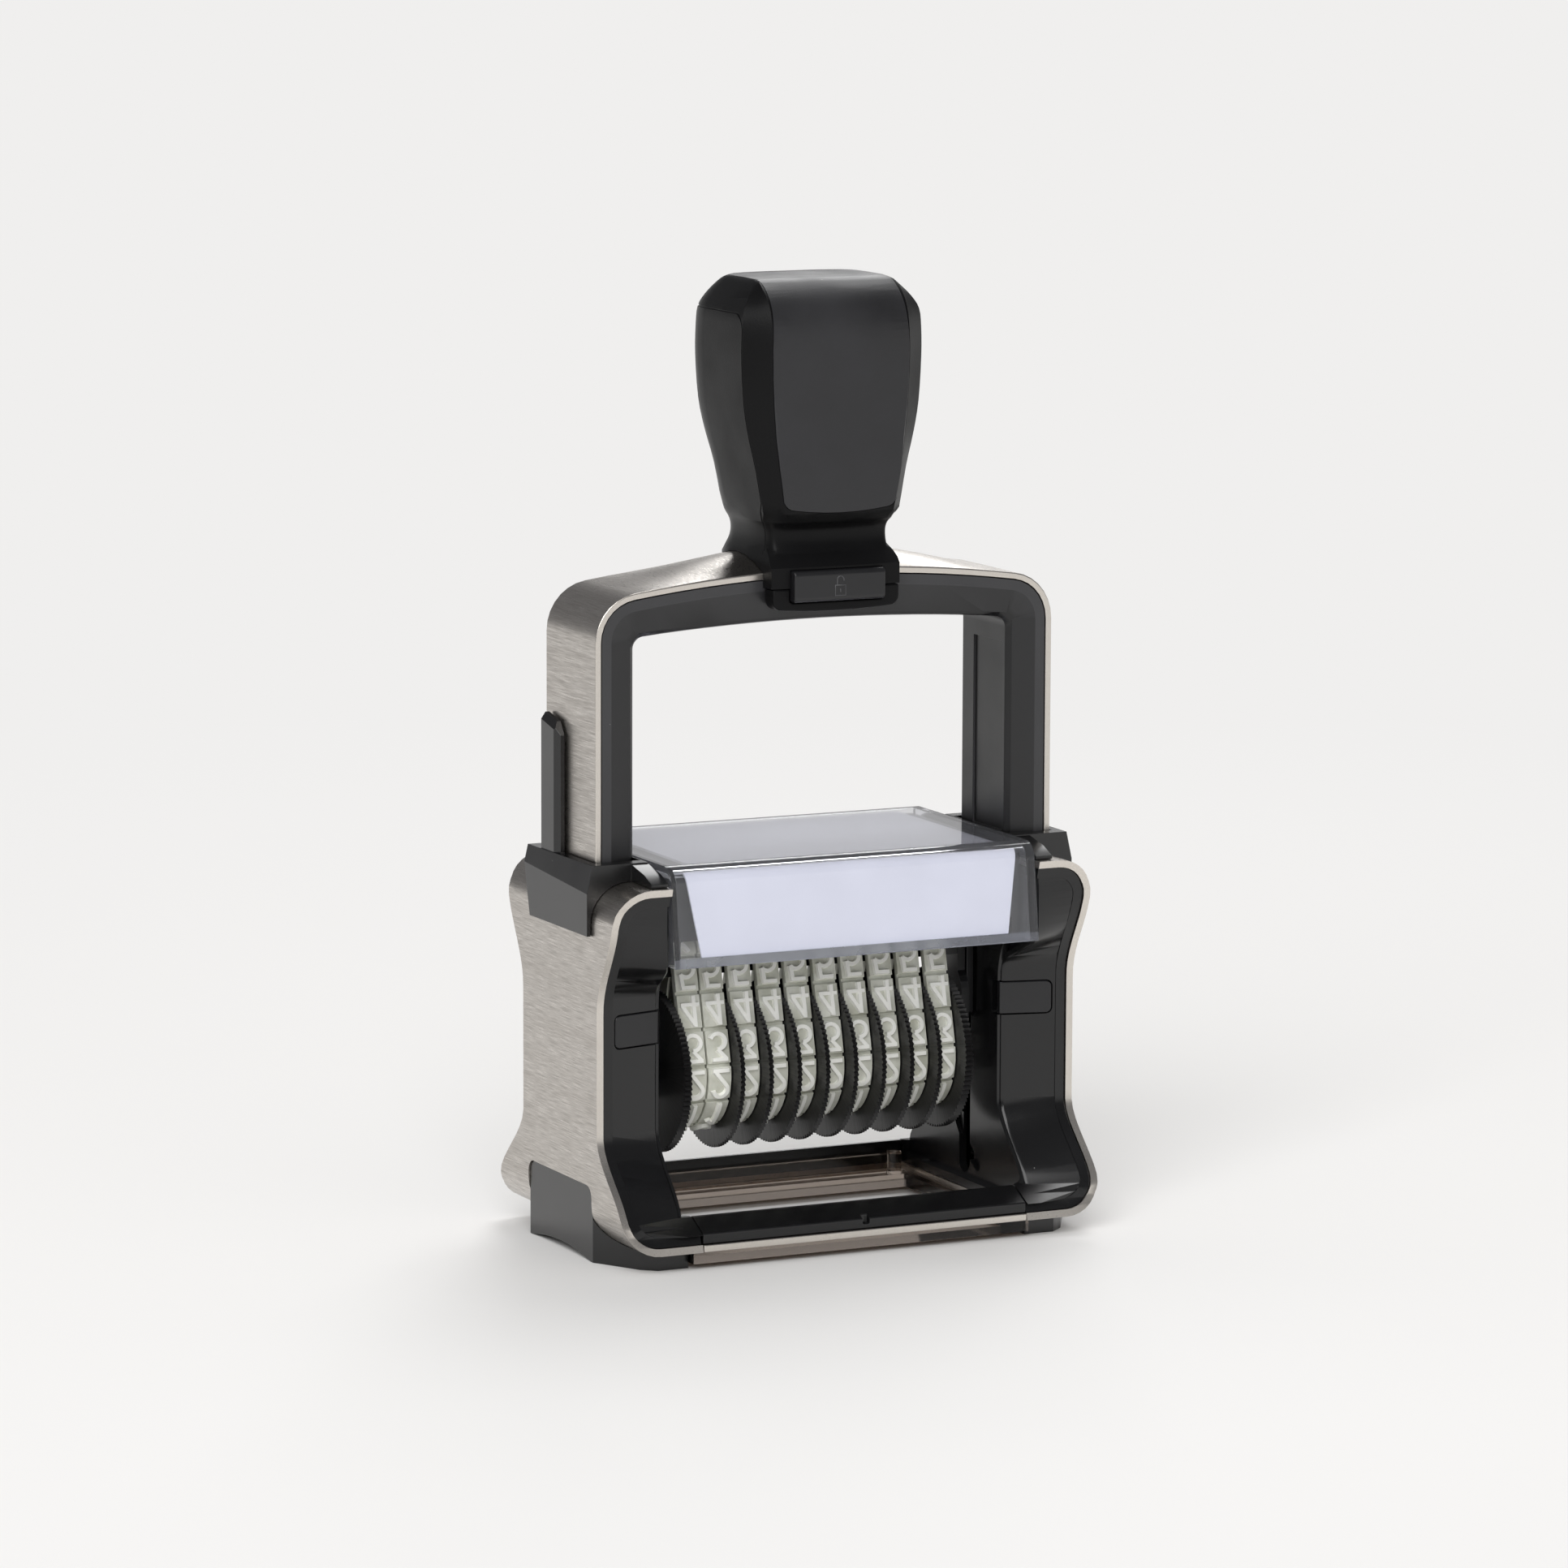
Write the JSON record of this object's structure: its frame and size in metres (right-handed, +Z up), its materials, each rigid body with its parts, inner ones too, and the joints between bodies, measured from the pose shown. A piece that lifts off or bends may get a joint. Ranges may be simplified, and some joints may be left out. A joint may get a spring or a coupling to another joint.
{
  "type": "self-inking number stamp",
  "caption": "Press-down number stamp: steel body and arch, moulded grip, clear index window, toothed setting wheels with figure bands, flipping print unit and ink pad.",
  "frame": {"origin": "under the middle of the base, on the plane of the feet", "axes": "+X to the right along the row of wheels, -Y to the front with the index window, +Z up along the handle"},
  "size_m": [0.0892, 0.0522, 0.16],
  "materials": {
    "steel": "brushed, warm grey",
    "black_plastic": "satin black",
    "gloss_black": "polished black",
    "charcoal": "fine matt charcoal",
    "clear": "clear plastic",
    "smoky_clear": "smoky clear plastic",
    "card": "white card",
    "cream_band": "cream",
    "pad": "inked felt",
    "pin_steel": "bright pin and spring steel"
  },
  "bodies": {
    "base": {"body_strap_left": "steel", "body_strap_right": "steel", "sill_strips": "steel", "cheek_left": "gloss_black", "cheek_right": "gloss_black", "front_rail": "black_plastic", "rear_rail": "black_plastic", "collar_left": "gloss_black", "collar_right": "gloss_black", "foot_left": "black_plastic", "foot_right": "black_plastic", "base_frame": "smoky_clear", "window_cover": "clear", "index_card": "card", "top_card": "card", "return_spring_left": "pin_steel", "return_spring_right": "pin_steel"},
    "handle_unit": {"handle_grip": "black_plastic", "grip_inlay": "charcoal", "lock_housing": "black_plastic", "arch_strap": "steel", "arch_frame": "black_plastic", "yoke_arm_left": "black_plastic", "yoke_arm_right": "black_plastic", "trunnion_left": "pin_steel", "trunnion_right": "pin_steel"},
    "lock": {"lock_button": "charcoal"},
    "number_unit": {"carriage_left": "black_plastic", "carriage_right": "black_plastic", "cam_pin_left": "pin_steel", "cam_pin_right": "pin_steel", "platen": "black_plastic", "wheel_axle": "pin_steel", "number_band_1": "cream_band", "number_band_2": "cream_band", "number_band_3": "cream_band", "number_band_4": "cream_band", "number_band_5": "cream_band", "number_band_6": "cream_band", "number_band_7": "cream_band", "number_band_8": "cream_band", "number_band_9": "cream_band", "number_band_10": "cream_band"},
    "release_left": {"release_button_left": "charcoal"},
    "release_right": {"release_button_right": "charcoal"},
    "pad_cartridge": {"pad_tray": "black_plastic", "ink_pad": "pad"},
    "wheel_1": {"setting_wheel_1": "black_plastic"},
    "wheel_2": {"setting_wheel_2": "black_plastic"},
    "wheel_3": {"setting_wheel_3": "black_plastic"},
    "wheel_4": {"setting_wheel_4": "black_plastic"},
    "wheel_5": {"setting_wheel_5": "black_plastic"},
    "wheel_6": {"setting_wheel_6": "black_plastic"},
    "wheel_7": {"setting_wheel_7": "black_plastic"},
    "wheel_8": {"setting_wheel_8": "black_plastic"},
    "wheel_9": {"setting_wheel_9": "black_plastic"},
    "wheel_10": {"setting_wheel_10": "black_plastic"}
  },
  "joints": [
    {"name": "handle_press", "type": "slide", "parent": "base", "child": "handle_unit", "axis": [0, 0, -1], "range_m": [0, 0.0239], "stiffness_N_per_m": 420, "springref_m": -0.02, "deforming": ["return_spring_left", "return_spring_right"]},
    {"name": "unit_flip", "type": "hinge", "parent": "handle_unit", "child": "number_unit", "pos_m": [0, 0, 0.038], "axis": [-1, 0, 0], "range_deg": [0, 180]},
    {"name": "lock_push", "type": "slide", "parent": "handle_unit", "child": "lock", "axis": [0, 1, 0], "range_m": [0, 0.0014], "stiffness_N_per_m": 300, "springref_m": -0.003},
    {"name": "release_left_push", "type": "slide", "parent": "base", "child": "release_left", "axis": [0, 1, 0], "range_m": [0, 0.0012], "stiffness_N_per_m": 300, "springref_m": -0.003},
    {"name": "release_right_push", "type": "slide", "parent": "base", "child": "release_right", "axis": [0, 1, 0], "range_m": [0, 0.0012], "stiffness_N_per_m": 300, "springref_m": -0.003},
    {"name": "cartridge_slide", "type": "slide", "parent": "base", "child": "pad_cartridge", "axis": [0, 1, 0], "range_m": [0, 0.04]},
    {"name": "wheel_1_turn", "type": "hinge", "parent": "number_unit", "child": "wheel_1", "pos_m": [0, 0, 0.0285], "axis": [1, 0, 0], "continuous": true},
    {"name": "wheel_2_turn", "type": "hinge", "parent": "number_unit", "child": "wheel_2", "pos_m": [0, 0, 0.0285], "axis": [1, 0, 0], "continuous": true},
    {"name": "wheel_3_turn", "type": "hinge", "parent": "number_unit", "child": "wheel_3", "pos_m": [0, 0, 0.0285], "axis": [1, 0, 0], "continuous": true},
    {"name": "wheel_4_turn", "type": "hinge", "parent": "number_unit", "child": "wheel_4", "pos_m": [0, 0, 0.0285], "axis": [1, 0, 0], "continuous": true},
    {"name": "wheel_5_turn", "type": "hinge", "parent": "number_unit", "child": "wheel_5", "pos_m": [0, 0, 0.0285], "axis": [1, 0, 0], "continuous": true},
    {"name": "wheel_6_turn", "type": "hinge", "parent": "number_unit", "child": "wheel_6", "pos_m": [0, 0, 0.0285], "axis": [1, 0, 0], "continuous": true},
    {"name": "wheel_7_turn", "type": "hinge", "parent": "number_unit", "child": "wheel_7", "pos_m": [0, 0, 0.0285], "axis": [1, 0, 0], "continuous": true},
    {"name": "wheel_8_turn", "type": "hinge", "parent": "number_unit", "child": "wheel_8", "pos_m": [0, 0, 0.0285], "axis": [1, 0, 0], "continuous": true},
    {"name": "wheel_9_turn", "type": "hinge", "parent": "number_unit", "child": "wheel_9", "pos_m": [0, 0, 0.0285], "axis": [1, 0, 0], "continuous": true},
    {"name": "wheel_10_turn", "type": "hinge", "parent": "number_unit", "child": "wheel_10", "pos_m": [0, 0, 0.0285], "axis": [1, 0, 0], "continuous": true}
  ],
  "couplings": [
    {"joint": "unit_flip", "follows": "handle_press", "rad_per_m": 131.45}
  ]
}
